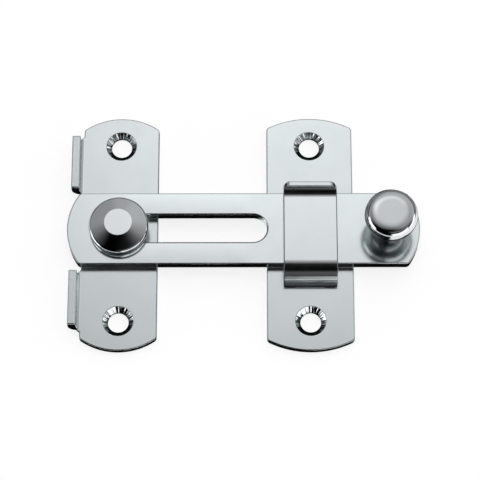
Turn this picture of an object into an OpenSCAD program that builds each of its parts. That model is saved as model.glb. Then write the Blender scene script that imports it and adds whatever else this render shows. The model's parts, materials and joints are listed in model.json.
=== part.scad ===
// Bar latch for a door: a slotted bar turns and slides on a round-headed post, and drops into an open hook.
// X runs along the shut bar, Y up the door and Z out of it. The origin is on the post's axis, in the plane
// of the plates' backs.

/* [Sheet] */
// Thickness of the plates and of the hook's strap
sheet_t = 2; // [1.6:0.1:2.1]
// Radius of the tumbled edges
edge_r = 0.2; // [0.15:0.05:0.35]

/* [Plates] */
// Height of both plates over their round ends
plate_h = 61; // [58:0.2:66]
// Radius that blends a plate's sides into its round ends
plate_corner_r = 1.3; // [1:0.1:3]
// Radius of the latch plate's round ends
latch_end_r = 16; // [12.5:0.5:20]
// Width of the keeper plate
keeper_w = 21.4; // [19:0.2:24]
// Radius of the keeper plate's round ends
keeper_end_r = 23; // [14:0.5:30]
// Distance from the post's axis to the middle of the keeper plate
keeper_x = 47.2; // [45:0.2:60]

/* [Screw holes] */
// Distance between a plate's two screw holes
hole_spacing = 46; // [42:0.5:47]
// Diameter of a screw hole
hole_d = 5.1; // [4.4:0.1:5.6]
// Diameter of a screw hole's countersink at the front
sink_d = 7.7; // [7:0.1:8.4]

/* [Flanges] */
// Room between the upright bar's edge and a flange
flange_gap_x = 0.95; // [0.5:0.05:1.2]
// Room between the shut bar's edge and the near end of a flange
flange_gap_y = 1.45; // [1.3:0.05:3]
// Straight edge left between a flange and the plate's corner
flange_setback = 2.6; // [1.6:0.05:4]
// Inside radius of a flange's bend
flange_bend_r = 0.75; // [0.4:0.05:0.85]
// Radius of a flange's top corners
flange_corner_r = 0.4; // [0.4:0.1:1.2]
// Reach of the webs that fill the corners between a flange's root and the plate's side
flange_web = 0.8; // [0.4:0.1:1.2]

/* [Bar] */
// Thickness of the bar
bar_t = 3; // [2.9:0.1:4]
// Width of the bar
bar_w = 18.5; // [17:0.1:20]
// Radius of the bar's round ends
bar_end_r = 15.5; // [12:0.1:18]
// Radius that blends the bar's sides into its round ends
bar_corner_r = 1.5; // [1:0.1:3]
// Reach of the bar past the post's axis
bar_tail = 12.9; // [10:0.1:13]
// Reach of the bar past the knob's axis
bar_tip = 7.7; // [6.5:0.1:10]
// Travel that the slot allows the post
slot_travel = 33; // [20:0.5:36]
// Width of the bevels along the slot's edges
slot_bevel = 0.3; // [0.1:0.05:0.6]

/* [Post] */
// Diameter of the post's neck, which the slot runs on
neck_d = 6.8; // [6:0.1:8]
// Room between the neck and the slot's wall
neck_gap = 0.15; // [0.1:0.05:0.3]
// Diameter of the post's head
head_d = 14.7; // [13.5:0.1:17]
// Height of the straight rim of the head
rim_h = 2.8; // [2:0.1:3.6]
// Rounding of the rim's two edges
rim_r = 1.1; // [0.5:0.1:1.3]
// Height of the head's cone over its rim
crown_h = 1.7; // [1:0.1:3]
// Diameter of the flat on top of the head
crown_d = 6.9; // [5:0.1:9]
// Diameter of the post's tenon in the plate
post_tenon_d = 5; // [4:0.1:5.8]
// Width of the countersink that a riveted tenon fills
peen_w = 0.6; // [0.3:0.1:0.9]

/* [Washer] */
// Thickness of the washer under the post's head
washer_t = 0.3; // [0.2:0.05:0.6]
// Diameter of the washer
washer_d = 12.4; // [10:0.1:13]
// Room between the washer and the neck
washer_gap = 0.1; // [0.05:0.05:0.3]

/* [Knob] */
// Distance from the hook's edge to the knob's axis
knob_reach = 12.8; // [11.5:0.1:16]
// Diameter of the knob over its rolled rim
knob_d = 13; // [12:0.1:14]
// Height of the knob over the bar
knob_h = 12; // [11:0.1:15]
// Radius of the rolled rim's section
roll_r = 3; // [2.6:0.1:3.4]
// Height from the knob's underside up to its widest place
roll_h = 2.1; // [1.2:0.1:2.4]
// Diameter of the flat on top of the knob
knob_face_d = 6.2; // [5:0.1:7.6]
// Radius of the dome round the flat
dome_r = 9.6; // [7:0.1:14]
// Radius between the dome and the rolled rim
dome_edge_r = 1.8; // [1:0.1:2.4]
// Diameter of the knob's neck
knob_neck_d = 6.6; // [5.6:0.1:7.6]
// Radius that flares the neck into the head
flare_r = 1.1; // [0.5:0.1:1.6]
// Diameter of the collar at the knob's foot
collar_d = 8; // [7.7:0.1:9]
// Height of the collar
collar_h = 0.9; // [0.8:0.1:1.5]
// Diameter of the knob's tenon in the bar
knob_tenon_d = 4.5; // [3.5:0.1:5.4]

/* [Hook] */
// Width of the hook's strap
hook_w = 13.2; // [10:0.1:16]
// Room between the bar's face and the hook
hook_gap_z = 0.5; // [0.4:0.05:1]
// Inside radius of the bend round the bar's near edge
hook_r = 3.3; // [2.6:0.1:3.4]
// Distance from the bar's near edge back to where the hook bends down
hook_inset = 0.1; // [0:0.05:0.4]
// Radius of the hook's corners where it stands on the plate
foot_corner_r = 1; // [0.5:0.1:1.8]
// Width of the tab that fixes the hook in the plate
tab_w = 7; // [4:0.5:9]
// Distance from the bar's far edge back to where the lip starts
lip_inset = 1.95; // [0.5:0.05:4]
// Inside radius of the lip's bend
lip_r = 3.2; // [2:0.1:5]
// Angle of the lip
lip_angle = 52; // [40:1:75]
// Radius of the lip's corners
lip_corner_r = 1.9; // [0.5:0.05:2.4]

/* [Hidden] */
$fn = 72;

// A cut passes this far through a face
cut = 1;
// A rounding reaches this far past the faces that it joins, so that it crosses them
overlap = 0.03;
// Front face of the bar
front_z = sheet_t + bar_t;
slot_w = neck_d + 2 * neck_gap;
knob_x = keeper_x + hook_w / 2 + knob_reach;
// The latch plate's side is where its flanges start to bend
latch_w = bar_w + 2 * (flange_gap_x - flange_bend_r);
// Ends of the flanges along the plate
flange_near = bar_w / 2 + flange_gap_y;
flange_far = round_off(corner_along(latch_w, plate_h, latch_end_r) - flange_setback);
flange_l = flange_far - flange_near;
// Inner face of the hook's wall
hook_wall_y = bar_w / 2 - hook_inset + hook_r;
// Outward directions, across and up, of the places where the knob's edge and its rolled rim start
edge_way = [0.28, 0.96];
roll_way = [0.6, 0.8];

// Where the side of a round-ended slab meets its end, measured from the slab's middle
function corner_along(w, h, end_r) = h / 2 - end_r + sqrt(end_r * end_r - w * w / 4);

// To a hundredth of a millimetre
function round_off(x) = round(x * 100) / 100;

// Section of a flat piece from its middle out to its rounded edge
module half_section(reach, thick, r) {
    square([reach - r, thick]);
    translate([0, r]) square([reach, thick - 2 * r]);
    for (y = [r, thick - r]) translate([reach - r, y]) circle(r);
}

// Whole section of a flat piece, rounded along both edges
module full_section(w, thick, r) {
    half_section(w / 2, thick, r);
    mirror([1, 0]) half_section(w / 2, thick, r);
}

// Disc with a rounded edge
module puck(r, thick) {
    rotate_extrude() half_section(r, thick, edge_r);
}

// Flat piece along Y with round ends, blended corners and rounded edges: the waste is cut off a long strip
module slab(w, h, thick, end_r, corner_r) {
    end_y = h / 2 - end_r;
    corner_x = w / 2 - corner_r + overlap;
    corner_y = end_y + sqrt(pow(end_r - corner_r + overlap, 2) - corner_x * corner_x);
    lean = atan2(corner_y - end_y, corner_x);
    difference() {
        rotate([90, 0, 0]) linear_extrude(h + cut, center = true) full_section(w, thick, edge_r);
        for (end = [0, 180]) rotate(end) {
            difference() {
                translate([-w / 2 - cut, end_y, -cut]) cube([w + 2 * cut, end_r + cut, thick + 2 * cut]);
                translate([0, end_y, 0]) puck(end_r, thick);
            }
            for (side = [0, 1]) mirror([side, 0]) translate([corner_x, corner_y, 0]) difference() {
                translate([0, 0, -cut]) linear_extrude(thick + 2 * cut)
                    polygon([[0, 0], [2 * corner_r, 0], 2 * corner_r * [cos(lean), sin(lean)]]);
                puck(corner_r, thick);
            }
        }
    }
}

// Section of a strap: its thickness runs from the origin along X, and its width both ways along Y
module strap_section(w) {
    rotate(90) mirror([0, 1]) full_section(w, sheet_t, edge_r);
}

// A strap is laid from the origin along X, with its thickness up Z. What follows a piece is laid on from
// the piece's end.
module strap_run(w, length) {
    rotate([0, -90, 180]) linear_extrude(length) strap_section(w);
    translate([length, 0, 0]) children();
}

module strap_bend_up(w, r, angle) {
    centre = sheet_t + r;
    translate([0, 0, centre]) rotate([90, 90, 0])
        rotate_extrude(angle = angle) translate([r, 0]) strap_section(w);
    translate([0, 0, centre]) rotate([0, -angle, 0]) translate([0, 0, -centre]) children();
}

module strap_bend_down(w, r, angle) {
    translate([0, 0, -r]) rotate([-90, -90, 0])
        rotate_extrude(angle = angle) translate([r, 0]) strap_section(w);
    translate([0, 0, -r]) rotate([0, angle, 0]) translate([0, 0, r]) children();
}

// Straight run with rounded corners and a rounded edge at its end
module strap_end(w, length, corner_r) {
    flat_w = w - 2 * corner_r;
    strap_run(w, length - corner_r) {
        rotate([90, 0, 0]) linear_extrude(flat_w, center = true) half_section(corner_r, sheet_t, edge_r);
        translate([0, flat_w / 2, 0]) rotate_extrude(angle = 90) half_section(corner_r, sheet_t, edge_r);
        translate([0, -flat_w / 2, 0]) rotate(-90)
            rotate_extrude(angle = 90) half_section(corner_r, sheet_t, edge_r);
    }
}

module screw_holes() {
    sink_h = (sink_d - hole_d) / 2;
    for (side = [-1, 1]) translate([0, side * hole_spacing / 2, 0]) {
        translate([0, 0, -cut]) cylinder(d = hole_d, h = sheet_t + 2 * cut);
        translate([0, 0, sheet_t - sink_h]) cylinder(d1 = hole_d, d2 = sink_d, h = sink_h);
        translate([0, 0, sheet_t]) cylinder(d = sink_d, h = cut);
    }
}

// Tenon peened flush into a countersink at its lower end; the same form cuts its hole
module tenon(d, length) {
    cylinder(d = d, h = length);
    cylinder(d1 = d + 2 * peen_w, d2 = d, h = peen_w);
}

module flange() {
    root = 2 * edge_r;
    translate([root - latch_w / 2, 0, 0]) rotate(180)
        strap_run(flange_l, root) strap_bend_up(flange_l, flange_bend_r, 90)
            strap_end(flange_l, bar_t - flange_bend_r, flange_corner_r);
}

// Web in the corner between the plate's side and the end of a flange
module corner_web() {
    root = 2 * edge_r;
    linear_extrude(sheet_t) polygon([
        [root, -root],
        [-flange_web, -root],
        [-flange_web, 0],
        [0, flange_web],
        [root, flange_web],
    ]);
}

module latch_plate() {
    color([0.83, 0.84, 0.85]) difference() {
        union() {
            slab(latch_w, plate_h, sheet_t, latch_end_r, plate_corner_r);
            for (side = [0, 1]) mirror([0, side]) {
                translate([0, flange_near + flange_l / 2, 0]) flange();
                translate([-latch_w / 2, flange_far, 0]) corner_web();
                translate([-latch_w / 2, flange_near, 0]) mirror([0, 1]) corner_web();
            }
        }
        screw_holes();
        tenon(post_tenon_d, sheet_t);
    }
}

module post_head_section() {
    corner_x = head_d / 2 - rim_r;
    corner_z = rim_h - rim_r;
    dx = corner_x - crown_d / 2;
    dz = rim_h + crown_h - corner_z;
    slope = atan2(dz, dx) - asin(rim_r / norm([dx, dz]));
    half_section(head_d / 2, rim_h, rim_r);
    polygon([
        [0, corner_z],
        [corner_x, corner_z],
        [corner_x + rim_r * sin(slope), corner_z + rim_r * cos(slope)],
        [crown_d / 2, rim_h + crown_h],
        [0, rim_h + crown_h],
    ]);
}

module pivot_post() {
    head_z = front_z + washer_t;
    color([0.74, 0.75, 0.77]) {
        tenon(post_tenon_d, sheet_t);
        translate([0, 0, sheet_t]) cylinder(d = neck_d, h = head_z - sheet_t);
        translate([0, 0, head_z]) rotate_extrude() post_head_section();
    }
}

module friction_washer() {
    color([0.45, 0.45, 0.47]) translate([0, 0, front_z]) difference() {
        cylinder(d = washer_d, h = washer_t);
        translate([0, 0, -cut]) cylinder(d = neck_d + 2 * washer_gap, h = washer_t + 2 * cut);
    }
}

// Slot through the bar, bevelled at both faces
module bar_slot() {
    for (x = [0, slot_travel]) translate([x, 0, 0]) {
        translate([0, 0, -cut]) cylinder(d = slot_w, h = bar_t + 2 * cut);
        cylinder(d1 = slot_w + 2 * slot_bevel, d2 = slot_w, h = slot_bevel);
        translate([0, 0, bar_t - slot_bevel])
            cylinder(d1 = slot_w, d2 = slot_w + 2 * slot_bevel, h = slot_bevel);
    }
    rotate([90, 0, 90]) linear_extrude(slot_travel) {
        translate([-slot_w / 2, -cut]) square([slot_w, bar_t + 2 * cut]);
        for (side = [0, 1]) translate([0, side * bar_t]) mirror([0, side]) polygon([
            [-slot_w / 2 - slot_bevel, 0],
            [slot_w / 2 + slot_bevel, 0],
            [slot_w / 2, slot_bevel],
            [-slot_w / 2, slot_bevel],
        ]);
    }
}

module latch_bar() {
    length = bar_tail + knob_x + bar_tip;
    color([0.86, 0.87, 0.88]) translate([0, 0, sheet_t]) difference() {
        translate([length / 2 - bar_tail, 0, 0]) rotate(-90)
            slab(bar_w, length, bar_t, bar_end_r, bar_corner_r);
        bar_slot();
        translate([knob_x, 0, 0]) tenon(knob_tenon_d, bar_t);
    }
}

// Part of a disc that a point sees between two places on the disc's rim
module disc_slice(centre, r, point, start, end) {
    intersection() {
        translate(centre) circle(r);
        polygon([point, 2 * start - point, 2 * end - point]);
    }
}

module knob_section() {
    neck_r = knob_neck_d / 2;
    face_r = knob_face_d / 2;
    edge_start_x = knob_d / 2 - roll_r + roll_r * roll_way.x + dome_edge_r * (edge_way.x - roll_way.x);
    dome_drop = dome_r - sqrt(dome_r * dome_r - pow(edge_start_x - face_r, 2));
    edge_start = [edge_start_x, round_off(knob_h - dome_drop + overlap / 2)];
    edge = edge_start - dome_edge_r * edge_way;
    roll_start = edge + dome_edge_r * roll_way;
    roll = roll_start - roll_r * roll_way;
    under_z = roll.y - roll_h;
    half_section(collar_d / 2, collar_h, edge_r);
    square([neck_r, under_z + overlap]);
    // Flare from the neck into the head's underside
    difference() {
        translate([0, under_z - flare_r]) square([neck_r + flare_r, flare_r]);
        translate([neck_r + flare_r, under_z - flare_r]) circle(flare_r);
    }
    intersection() {
        union() {
            polygon([
                [0, under_z],
                [roll.x, under_z],
                roll,
                edge_start,
                [edge_start.x, knob_h + cut],
                [0, knob_h + cut],
            ]);
            disc_slice(edge, dome_edge_r, roll, edge_start, roll_start);
            intersection() {
                translate(roll) circle(roll_r);
                polygon([roll, 2 * roll_start - roll, [roll.x + 2 * roll_r, under_z], [roll.x, under_z]]);
            }
        }
        union() {
            square([face_r, knob_h]);
            translate([face_r, knob_h - dome_r]) circle(dome_r);
        }
    }
}

module knob() {
    color([0.78, 0.79, 0.81]) translate([knob_x, 0, 0]) {
        translate([0, 0, sheet_t]) tenon(knob_tenon_d, bar_t);
        translate([0, 0, front_z]) rotate_extrude() knob_section();
    }
}

// Tab under the hook's wall, peened flush along both its long sides; the same form cuts its hole
module hook_tab() {
    translate([keeper_x, -hook_wall_y - sheet_t / 2, 0]) rotate([90, 0, 90])
        linear_extrude(tab_w, center = true) {
            translate([-sheet_t / 2, 0]) square(sheet_t);
            polygon([
                [-sheet_t / 2 - peen_w, 0],
                [sheet_t / 2 + peen_w, 0],
                [sheet_t / 2, peen_w],
                [-sheet_t / 2, peen_w],
            ]);
        }
}

module keeper_plate() {
    color([0.83, 0.84, 0.85]) difference() {
        translate([keeper_x, 0, 0]) difference() {
            slab(keeper_w, plate_h, sheet_t, keeper_end_r, plate_corner_r);
            screw_holes();
        }
        hook_tab();
    }
}

// Waste outside a rounded corner that points along X and Y, of a piece whose thickness is up Z
module corner_waste(r, thick) {
    translate([overlap - r, overlap - r, -cut]) difference() {
        cube([r + cut, r + cut, thick + 2 * cut]);
        cylinder(r = r, h = 2 * (thick + 2 * cut), center = true);
    }
}

module keeper_hook() {
    wall_l = bar_t + hook_gap_z - hook_r;
    top_l = bar_w - hook_inset - lip_inset;
    lip_centre = [keeper_x, bar_w / 2 - lip_inset, front_z + hook_gap_z + sheet_t + lip_r];
    color([0.80, 0.81, 0.83]) {
        hook_tab();
        difference() {
            translate([keeper_x, -hook_wall_y, sheet_t]) rotate([0, -90, 90])
                strap_run(hook_w, wall_l) strap_bend_down(hook_w, hook_r, 90)
                    strap_run(hook_w, top_l) strap_bend_up(hook_w, lip_r, lip_angle);
            for (side = [0, 1]) {
                translate([keeper_x, -hook_wall_y, sheet_t]) mirror([side, 0]) translate([hook_w / 2, 0, 0])
                    rotate([-90, 0, 0]) translate([0, 0, -sheet_t]) corner_waste(foot_corner_r, sheet_t);
                translate(lip_centre) mirror([side, 0]) rotate([lip_angle, 0, 0])
                    translate([hook_w / 2, 0, -lip_r - sheet_t]) corner_waste(lip_corner_r, sheet_t);
            }
            translate(lip_centre) rotate([lip_angle, 0, 0]) translate([-hook_w / 2, 0, 0]) {
                translate([0, 0, -lip_r]) rotate([0, 90, 0]) mirror([1, 0]) corner_waste(edge_r, hook_w);
                translate([0, 0, -lip_r - sheet_t]) rotate([0, 90, 0]) corner_waste(edge_r, hook_w);
            }
        }
    }
}

latch_plate();
pivot_post();
friction_washer();
latch_bar();
knob();
keeper_plate();
keeper_hook();
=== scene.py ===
"""Looks of the bar latch: ground and polished steel in a light tent, seen from above."""
import json
import math

import bmesh
import bpy
from mathutils import Matrix, Vector


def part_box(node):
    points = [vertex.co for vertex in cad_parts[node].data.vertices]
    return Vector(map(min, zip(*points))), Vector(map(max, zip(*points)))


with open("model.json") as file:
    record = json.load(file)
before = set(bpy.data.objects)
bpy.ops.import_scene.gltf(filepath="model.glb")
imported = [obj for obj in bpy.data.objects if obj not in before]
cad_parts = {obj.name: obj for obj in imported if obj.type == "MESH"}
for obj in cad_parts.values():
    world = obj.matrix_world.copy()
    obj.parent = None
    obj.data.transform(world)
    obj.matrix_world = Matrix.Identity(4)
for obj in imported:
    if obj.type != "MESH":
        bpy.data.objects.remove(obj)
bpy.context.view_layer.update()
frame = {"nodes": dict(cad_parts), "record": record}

MM = 0.001
MICRON = 0.001 * MM

# The camera looks down on the shut latch, from a little in front of it. Its angles are in degrees.
CAMERA_AZIMUTH = 1.06
CAMERA_ELEVATION = 70.6
CAMERA_ROLL = -1.065
CAMERA_DISTANCE = 0.498
CAMERA_TARGET = Vector((29.83, -1.33, 0)) * MM
CAMERA_LENS = 150
CAMERA_NEAR = 0.05

# Half the floor's side, how far it lies under the latch, and the radius of the tent, in metres
FLOOR_R = 6
FLOOR_DROP = 0.00003
TENT_R = 2
# Number of facets once round the tent
TENT_SEGMENTS = 64

# How pale the floor's paint is, and how bright it glows for the camera and the steel
FLOOR_PAINT = 0.62
FLOOR_GLOW = 0.83
# Black card on the floor under the latch, which only the steel sees. It reaches past the pieces and fades.
CARD_BLACK = 0.02
CARD_REACH = 6 * MM
CARD_FADE = 4 * MM
# Piece of the same card on the floor in front of the slot and hook: its lowest and highest corner
FRONT_CARD = (Vector((8, -85, 0)) * MM, Vector((57, -38, 0)) * MM)
# Gap in the card, which lights the slot's right end: from left to right, and its half width
GAP_LEFT = 33.4 * MM
GAP_RIGHT = 36 * MM
GAP_HALF = 3 * MM
GAP_FADE = 1 * MM
# Grey card on the floor behind: how far behind the pivot it starts, and how bright it is
BACK_CARD_START = 10 * MM
BACK_CARD_GREY = 0.22

# Cloth over the latch's middle: degrees from straight up towards the back, and the share of its power there
MIDDLE_POWER = 1.25
MIDDLE_CLOTH = (
    (-3, 0), (2, 0.08), (8, 0.26), (14, 0.5), (17, 0.61), (19.5, 0.73), (22, 0.9), (25, 1), (27, 0.88),
    (32, 0.48), (41, 0.34), (75, 0.35),
)
# Cloth left and right of the middle: the same degrees, how bright, and the factors on the left and right
FLANK_CLOTH = ((-33, 0), (-20, 0.11), (-6, 0.24), (12, 0.32), (32, 0.42), (50, 0.44))
FLANK_LEFT = 0.75
FLANK_RIGHT = 1.17
# Flanks, wall and skirt are placed by the right and upward parts of the unit direction from the origin.
# Middle of the cloth, and the distances from it between which the flanks take over
MIDDLE_SIDE = 0.03
FLANK_SIDE = (0.06, 0.32)
# Dim wall on the right: how bright it is, and where it fades in to the right, in upwards and out upwards
WALL_POWER = 0.18
WALL_SIDE = (-0.2, 0.3)
WALL_FOOT = (0.4, 0.5)
WALL_TOP = (0.65, 0.8)
# Dark skirt all round above the floor: where the cloth fades in above it
SKIRT_TOP = (0.08, 0.17)
# Lit panels low round the front: left and right side in degrees right of the front, power, degrees high
PANELS = ((-100, -50, 2.2, 16), (1, 66, 1.4, 22), (60, 108, 1.6, 12))
# Degrees over which a panel's sides fade, and the share of its height up to which it is at full power
PANEL_SOFT = 8
PANEL_FULL = 0.7

# How broad the blotches of the steel's grain, of its faint waves and of its haze are
GRAIN_SIZE = 0.06 * MM
WAVE_SIZE = 14 * MM
HAZE_SIZE = 5 * MM
# How far the haze varies the tint and the roughness, as shares of them
HAZE_TINT = 0.06
HAZE_DULL = 0.2
# Samples that soften each edge
EDGE_SAMPLES = 8
# Countersinks: their radius, and how deep the drill's chatter is and how broad, as a share of a radius
SINK_R = 3.85 * MM
CHATTER_DEPTH = 0.8 * MM
CHATTER_SIZE = 0.4
# Widths over which the chatter ends inside a countersink's rim, and softened edges start outside it
CHATTER_FADE = 0.1 * MM
CRISP_FADE = 0.3 * MM
# Sheared tops of the flanges: the heights between which they start, and how deep and broad their marks are
FLANGE_TOP = (4.7 * MM, 4.85 * MM)
SHEAR_DEPTH = 0.03 * MM
SHEAR_SIZE = 0.8 * MM
# How much painted light makes the sheared tops paler, and by what roughness they are duller and the
# countersinks brighter
SHEARED_TOP_PAINTED_LIGHT = 0.16
SHEAR_DULL = 0.1
# Right end and half width of the bar's slot
SLOT_END = 34.5 * MM
SLOT_HALF = 3.3 * MM
# Crown of the strips beside the slot, in 1/m, and where it fades in and out along the bar
BAR_CROWN = 3
CROWN_START = (-4 * MM, 4 * MM)
CROWN_STOP = (SLOT_END - 5 * MM, SLOT_END)
# Radii between which the painted shade under the knob's head, on its neck and on the flat of its face, and
# the face's dullness, fade out
KNOB_HEAD_R = (8 * MM, 9 * MM)
KNOB_NECK_R = (4.4 * MM, 5.2 * MM)
KNOB_FACE_R = (3 * MM, 4.4 * MM)
# Shares of the knob's height between which the painted shade under its head ends, and its face starts
UNDER_HEAD = (0.6, 0.8)
FACE_START = (0.8, 0.9)
# How much painted shade darkens the knob under its head, on its neck besides, and on its face, and how much
# duller its face is
UNDERSIDE_PAINTED_SHADE = 0.42
NECK_PAINTED_SHADE = 0.2
FACE_PAINTED_SHADE = 0.12
FACE_DULL = 0.12
# Lean of the hook's lip, thickness of its sheet, and the slope that turns its end face up to the light
LIP_LEAN = math.radians(52)
SHEET = 2 * MM
LIP_SLOPE = -0.68
# Distances past the end face and past the strap's outline, between which the end face's slope and the
# painted shade on the edges fade in
LIP_END = (-0.2 * MM, -0.08 * MM)
STRAP_EDGE = (-0.35 * MM, -0.1 * MM)
# How much painted shade darkens the strap's edges
EDGE_PAINTED_SHADE = 0.6


class Field:
    """A number that changes over a surface. Sums on it add Math nodes."""

    def __init__(self, sheet, socket):
        self.sheet = sheet
        self.socket = socket

    def _math(self, operation, *values):
        inputs = dict(enumerate(values))
        return self.sheet.field("ShaderNodeMath", inputs, operation=operation)

    def __add__(self, other):
        return self._math("ADD", self, other)

    def __radd__(self, other):
        return self._math("ADD", other, self)

    def __sub__(self, other):
        return self._math("SUBTRACT", self, other)

    def __rsub__(self, other):
        return self._math("SUBTRACT", other, self)

    def __mul__(self, other):
        return self._math("MULTIPLY", self, other)

    def __rmul__(self, other):
        return self._math("MULTIPLY", other, self)

    def __truediv__(self, other):
        return self._math("DIVIDE", self, other)

    def __abs__(self):
        return self._math("ABSOLUTE", self)

    def at_least(self, other):
        return self._math("MAXIMUM", self, other)

    def toward(self, other):
        """Angle of a direction, in radians, from this part's axis towards the other part's axis."""
        return self._math("ARCTAN2", other, self)

    def past(self, low, high):
        """How far this lies outside low and high. It is below 0 between them."""
        return abs(self - (low + high) / 2) - (high - low) / 2

    def blend(self, start, end):
        """0 where this is start, 1 where it is end, and smooth between them."""
        inputs = {"Value": self, "From Min": start, "From Max": end}
        return self.sheet.field("ShaderNodeMapRange", inputs, interpolation_type="SMOOTHSTEP")

    def ramp(self, stops):
        """Looks this up in a list of (place, value) stops. Both run from 0 to 1."""
        return self.sheet.field("ShaderNodeValToRGB", {"Fac": self}, stops=stops)


class NodeSheet:
    """The shader nodes of one material or world."""

    def __init__(self, owner):
        owner.use_nodes = True
        self.tree = owner.node_tree
        self.tree.nodes.clear()

    def node(self, kind, inputs=None, **settings):
        made = self.tree.nodes.new(kind)
        for name, value in settings.items():
            if name == "stops":
                self._set_stops(made.color_ramp, value)
            else:
                setattr(made, name, value)
        for key, value in (inputs or {}).items():
            if isinstance(value, Field):
                self.tree.links.new(value.socket, made.inputs[key])
            elif isinstance(value, bpy.types.NodeSocket):
                self.tree.links.new(value, made.inputs[key])
            else:
                made.inputs[key].default_value = value
        return made

    def field(self, kind, inputs=None, output=0, **settings):
        return Field(self, self.node(kind, inputs, **settings).outputs[output])

    @staticmethod
    def _set_stops(ramp, stops):
        for _ in stops[2:]:
            ramp.elements.new(0.5)
        for element, (place, value) in zip(ramp.elements, stops):
            element.position = place
            element.color = grey(value)

    def split(self, vector):
        """The three parts of a vector."""
        parts = self.node("ShaderNodeSeparateXYZ", {0: vector})
        return [Field(self, socket) for socket in parts.outputs]

    def flat_vector(self, x, y):
        return self.node("ShaderNodeCombineXYZ", {0: x, 1: y}).outputs[0]

    def length(self, vector):
        return self.field("ShaderNodeVectorMath", {0: vector}, output=1, operation="LENGTH")

    def unit(self, vector):
        return self.node("ShaderNodeVectorMath", {0: vector}, operation="NORMALIZE").outputs[0]

    def mix_vectors(self, factor, first, second):
        inputs = {0: factor, 4: first, 5: second}
        return self.node("ShaderNodeMix", inputs, data_type="VECTOR").outputs[1]

    def mix_shaders(self, factor, first, second):
        return self.node("ShaderNodeMixShader", {0: factor, 1: first, 2: second}).outputs[0]

    def place(self):
        """The point on the piece, in metres, in its own frame."""
        return self.node("ShaderNodeTexCoord").outputs["Object"]

    def noise(self, vector, size, stretch=(1, 1, 1), detail=2):
        """Noise whose blotches are about size across, drawn out along an axis where stretch is over 1."""
        scale = [1 / (size * along) for along in stretch]
        stretched = self.node("ShaderNodeVectorMath", {0: vector, 1: scale}, operation="MULTIPLY")
        inputs = {"Vector": stretched.outputs[0], "Scale": 1, "Detail": detail}
        return self.field("ShaderNodeTexNoise", inputs)


def grey(level):
    return (level, level, level, 1)


def new_material(name):
    material = bpy.data.materials.new(name)
    return material, NodeSheet(material)


def new_object(name, mesh):
    made = bpy.data.objects.new(name, mesh)
    bpy.context.scene.collection.objects.link(made)
    return made


def steel(name, tint, roughness, soft_edge, grain_depth, wave_depth, grain_stretch=(1, 1, 1), marks=None):
    """Ground and polished stainless steel: fine grain, faint waves, hazy patches and tumbled edges.

    What marks returns is added to it: relief in metres, shade as a factor on the tint that paints light and
    shade, dull as roughness, and crisp, which is 1 where the edges aren't softened.
    """
    material, sheet = new_material(name)
    point = sheet.place()
    grain = sheet.noise(point, GRAIN_SIZE, grain_stretch)
    waves = sheet.noise(point, WAVE_SIZE, detail=1)
    haze = sheet.noise(point, HAZE_SIZE, detail=4).blend(0.3, 0.7)
    extra = marks(sheet, point) if marks else {}
    height = grain * grain_depth + waves * wave_depth + extra.get("relief", 0)
    level = (1 + HAZE_TINT * (haze - 0.5)) * extra.get("shade", 1)
    colour = sheet.node("ShaderNodeVectorMath", {0: tint, "Scale": level}, operation="SCALE")
    normal = sheet.node("ShaderNodeBevel", {"Radius": soft_edge}, samples=EDGE_SAMPLES).outputs[0]
    if "crisp" in extra:
        plain = sheet.node("ShaderNodeNewGeometry").outputs["Normal"]
        normal = sheet.mix_vectors(extra["crisp"], normal, plain)
    relief = {"Height": height, "Distance": 1, "Strength": 1, "Normal": normal}
    bump = sheet.node("ShaderNodeBump", relief)
    surface = sheet.node("ShaderNodeBsdfPrincipled", {
        "Base Color": colour.outputs[0],
        "Metallic": 1,
        "Roughness": roughness * (1 + HAZE_DULL * (haze - 0.5)) + extra.get("dull", 0),
        "Normal": bump.outputs[0],
    })
    sheet.node("ShaderNodeOutputMaterial", {"Surface": surface.outputs[0]})
    return material


def sink_chatter_and_painted_light(sheet, point):
    """Radial chatter that the countersinking drill left, and painted light that makes the sheared tops of
    the flanges paler.
    """
    x, y, z = sheet.split(point)
    latch_holes, keeper_holes = frame["record"]["mounts"][:2]
    keeper_x = keeper_holes["pos_m"][0]
    hole_y = latch_holes["dims"]["spacing_y_mm"] * MM / 2
    in_keeper = x.blend(0.45 * keeper_x, 0.55 * keeper_x)
    from_hole = sheet.flat_vector(x - keeper_x * in_keeper, abs(y) - hole_y)
    distance = sheet.length(from_hole)
    chatter = sheet.noise(sheet.unit(from_hole), CHATTER_SIZE)
    in_sink = 1 - distance.blend(SINK_R - CHATTER_FADE, SINK_R)
    crisp = 1 - distance.blend(SINK_R, SINK_R + CRISP_FADE)
    on_top = z.blend(*FLANGE_TOP)
    shear = SHEAR_DEPTH * sheet.noise(point, SHEAR_SIZE) * on_top
    # Painted light: the tint of the flanges' sheared tops is made paler.
    return {
        "relief": CHATTER_DEPTH * chatter * in_sink + shear,
        "shade": 1 + SHEARED_TOP_PAINTED_LIGHT * on_top,
        "dull": SHEAR_DULL * (on_top - in_sink),
        "crisp": crisp,
    }


def bar_marks(sheet, point):
    """Faint crown that grinding left on the two strips beside the slot."""
    x, y, _ = sheet.split(point)
    _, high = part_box("latch_bar")
    off_axis = abs(y)
    off_crown = off_axis - (high[1] + SLOT_HALF) / 2
    beside = off_axis.blend(SLOT_HALF - MM, SLOT_HALF)
    beside = beside * x.blend(*CROWN_START) * (1 - x.blend(*CROWN_STOP))
    return {"relief": -BAR_CROWN * off_crown * off_crown * beside}


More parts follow.
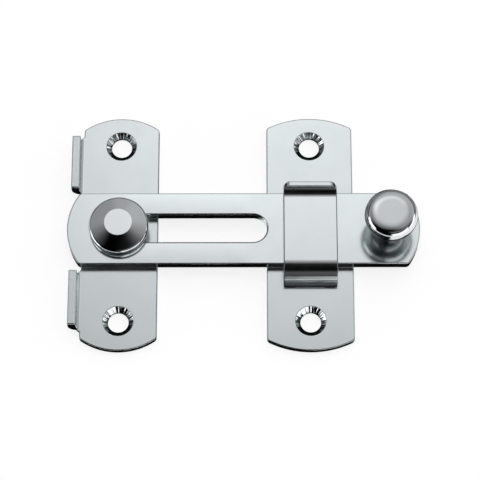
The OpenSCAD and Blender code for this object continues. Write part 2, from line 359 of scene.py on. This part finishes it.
def knob_painted_shade_and_satin(sheet, point):
    """Painted shade under the knob's head and on its neck, and the satin flat of its face, duller and
    darkened by painted shade.
    """
    x, y, z = sheet.split(point)
    low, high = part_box("knob")
    middle_x = (low[0] + high[0]) / 2
    distance = sheet.length(sheet.flat_vector(x - middle_x, y))
    height = (z - low[2]) / (high[2] - low[2])
    under = (1 - height.blend(*UNDER_HEAD)) * (1 - distance.blend(*KNOB_HEAD_R))
    on_neck = 1 - distance.blend(*KNOB_NECK_R)
    on_face = height.blend(*FACE_START) * (1 - distance.blend(*KNOB_FACE_R))
    # Painted shade: the tint is darkened under the knob's head, more on its neck, and on the flat of its
    # face.
    shade = 1 - under * (UNDERSIDE_PAINTED_SHADE + NECK_PAINTED_SHADE * on_neck) - FACE_PAINTED_SHADE * on_face
    return {"shade": shade, "dull": FACE_DULL * on_face}


def hook_slope_and_painted_shade(sheet, point):
    """Slope that turns the lip's end face up to the light, and painted shade along the strap's edges and the
    lip's end.
    """
    x, y, z = sheet.split(point)
    low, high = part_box("keeper_hook")
    rise, run = math.sin(LIP_LEAN), math.cos(LIP_LEAN)
    out = y - high[1]
    above = z - (high[2] - SHEET * run)
    on_end = (run * out + rise * above).blend(*LIP_END)
    across_end = run * above - rise * out
    # Painted shade: a dark line along the strap's sides and at the lip's end.
    painted_edge_shade = x.past(low[0], high[0]).at_least(out).blend(*STRAP_EDGE)
    return {"relief": LIP_SLOPE * across_end * on_end, "shade": 1 - EDGE_PAINTED_SHADE * painted_edge_shade}


def dress_nodes():
    """Gives each piece the finish that its material slot names."""
    finishes = {
        "plate_steel": {
            "tint": (0.77, 0.82, 0.83), "roughness": 0.2, "soft_edge": 0.3 * MM,
            "grain_depth": 0.5 * MICRON, "wave_depth": 40 * MICRON, "marks": sink_chatter_and_painted_light,
        },
        "bar_steel": {
            "tint": (0.78, 0.83, 0.84), "roughness": 0.15, "soft_edge": 0.3 * MM,
            "grain_depth": 0.5 * MICRON, "wave_depth": 40 * MICRON, "grain_stretch": (40, 1, 1),
            "marks": bar_marks,
        },
        "hook_steel": {
            "tint": (0.775, 0.82, 0.835), "roughness": 0.17, "soft_edge": 0.2 * MM,
            "grain_depth": 0.5 * MICRON, "wave_depth": 12 * MICRON, "grain_stretch": (1, 30, 1),
            "marks": hook_slope_and_painted_shade,
        },
        "turned_steel": {
            "tint": (0.755, 0.785, 0.80), "roughness": 0.1, "soft_edge": 0.2 * MM,
            "grain_depth": 0.2 * MICRON, "wave_depth": 1 * MICRON, "marks": knob_painted_shade_and_satin,
        },
        "washer_steel": {
            "tint": (0.42, 0.42, 0.43), "roughness": 0.35, "soft_edge": 0.1 * MM,
            "grain_depth": 1 * MICRON, "wave_depth": 1 * MICRON,
        },
    }
    materials = {slot: steel(slot, **finish) for slot, finish in finishes.items()}
    slots = {row["node"]: row["material_slot"] for row in frame["record"]["subparts"]}
    for name, node in frame["nodes"].items():
        for slot in node.material_slots:
            slot.material = materials[slots[name]]


def carded(x, y):
    """1 where the black card lies on the floor, and 0 past its edges and in its gap."""
    card = 0
    for low, high in (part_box("latch_plate"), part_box("keeper_plate"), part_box("latch_bar"), FRONT_CARD):
        outside = x.past(low[0], high[0]).at_least(y.past(low[1], high[1]))
        card = (1 - outside.blend(CARD_REACH, CARD_REACH + CARD_FADE)).at_least(card)
    gap = x.blend(GAP_LEFT, GAP_LEFT + GAP_FADE) * (1 - x.blend(GAP_RIGHT, GAP_RIGHT + GAP_FADE))
    gap = gap * (1 - abs(y).blend(GAP_HALF, GAP_HALF + GAP_FADE))
    return card * (1 - gap)


def make_floor():
    """Pale floor. The camera sees it white, with the latch's shadow on it, and the steel sees its cards."""
    mesh = bpy.data.meshes.new("floor")
    corners = [(x * FLOOR_R, y * FLOOR_R, -FLOOR_DROP) for x, y in ((-1, -1), (1, -1), (1, 1), (-1, 1))]
    mesh.from_pydata(corners, [], [(0, 1, 2, 3)])
    floor = new_object("floor", mesh)
    material, sheet = new_material("floor_white")
    path = sheet.node("ShaderNodeLightPath").outputs
    glossy = Field(sheet, path["Is Glossy Ray"])
    seen = Field(sheet, path["Is Camera Ray"]).at_least(glossy)
    seen = seen.at_least(Field(sheet, path["Is Transmission Ray"]))
    paint = sheet.node("ShaderNodeBsdfDiffuse", {"Color": grey(FLOOR_PAINT)})
    glow = sheet.node("ShaderNodeEmission", {"Color": FLOOR_GLOW * seen, "Strength": 1})
    pale = sheet.node("ShaderNodeAddShader", {0: paint.outputs[0], 1: glow.outputs[0]})
    back_card = sheet.node("ShaderNodeEmission", {"Color": grey(1), "Strength": BACK_CARD_GREY})
    black_card = sheet.node("ShaderNodeBsdfDiffuse", {"Color": grey(CARD_BLACK)})
    x, y, _ = sheet.split(sheet.place())
    behind = y.blend(BACK_CARD_START, 2 * BACK_CARD_START)
    surface = sheet.mix_shaders(behind * glossy, pale.outputs[0], back_card.outputs[0])
    surface = sheet.mix_shaders(carded(x, y) * glossy, surface, black_card.outputs[0])
    sheet.node("ShaderNodeOutputMaterial", {"Surface": surface})
    floor.data.materials.append(material)


def lean_stops(cloth):
    """A cloth's stops with each lean as a share of half a turn, and straight up at 0.5."""
    return [(0.5 + degrees / 180, level) for degrees, level in cloth]


def cloth_level(side, back, up):
    """How bright the tent is in a direction, given by its parts to the right, to the back and up."""
    lean = up.toward(back) / math.pi + 0.5
    middle = MIDDLE_POWER * lean.ramp(lean_stops(MIDDLE_CLOTH))
    to_right = side.blend(-0.5, 0.5)
    flank = lean.ramp(lean_stops(FLANK_CLOTH)) * (FLANK_LEFT + (FLANK_RIGHT - FLANK_LEFT) * to_right)
    off_middle = abs(side - MIDDLE_SIDE).blend(*FLANK_SIDE)
    level = middle * (1 - off_middle) + flank * off_middle
    wall = side.blend(*WALL_SIDE) * up.blend(*WALL_FOOT) * (1 - up.blend(*WALL_TOP))
    level = level.at_least(WALL_POWER * wall) * up.blend(*SKIRT_TOP)
    turn = (-1 * back).toward(side)
    for left, right, power, top in PANELS:
        panel = turn.blend(math.radians(left), math.radians(left + PANEL_SOFT))
        panel = panel * (1 - turn.blend(math.radians(right - PANEL_SOFT), math.radians(right)))
        fall = 1 - up.blend(math.sin(math.radians(PANEL_FULL * top)), math.sin(math.radians(top)))
        level = level.at_least(power * panel * fall)
    return level


def make_tent():
    """Light tent: bright cloth above and behind, dim walls, lit panels low in front, black at the camera."""
    mesh = bpy.data.meshes.new("tent")
    dome = bmesh.new()
    bmesh.ops.create_uvsphere(
        dome, u_segments=TENT_SEGMENTS, v_segments=TENT_SEGMENTS // 2, radius=TENT_R)
    below = [vert for vert in dome.verts if vert.co.z < -10 * MM]
    bmesh.ops.delete(dome, geom=below, context="VERTS")
    dome.to_mesh(mesh)
    dome.free()
    tent = new_object("tent", mesh)
    tent.visible_camera = False
    material, sheet = new_material("tent_cloth")
    position = sheet.node("ShaderNodeNewGeometry").outputs["Position"]
    level = cloth_level(*sheet.split(sheet.unit(position)))
    glow = sheet.node("ShaderNodeEmission", {"Color": level, "Strength": 1})
    sheet.node("ShaderNodeOutputMaterial", {"Surface": glow.outputs[0]})
    tent.data.materials.append(material)


def make_world():
    """White beyond the tent."""
    world = bpy.data.worlds.new("studio")
    bpy.context.scene.world = world
    sheet = NodeSheet(world)
    sky = sheet.node("ShaderNodeBackground", {"Color": grey(1), "Strength": 1})
    sheet.node("ShaderNodeOutputWorld", {"Surface": sky.outputs[0]})


def make_camera():
    azimuth, elevation, roll = map(math.radians, (CAMERA_AZIMUTH, CAMERA_ELEVATION, CAMERA_ROLL))
    flat = math.cos(elevation)
    back = Vector((math.sin(azimuth) * flat, -math.cos(azimuth) * flat, math.sin(elevation)))
    right = Vector((math.cos(azimuth), math.sin(azimuth), 0))
    upright = Matrix((right, back.cross(right), back)).transposed()
    data = bpy.data.cameras.new("camera")
    data.lens = CAMERA_LENS
    data.clip_start = CAMERA_NEAR
    camera = new_object("camera", data)
    place = Matrix.Translation(CAMERA_TARGET + back * CAMERA_DISTANCE)
    camera.matrix_world = place @ upright.to_4x4() @ Matrix.Rotation(roll, 4, "Z")
    bpy.context.scene.camera = camera


dress_nodes()
make_floor()
make_tent()
make_world()
make_camera()
bpy.context.scene.view_settings.view_transform = "Standard"
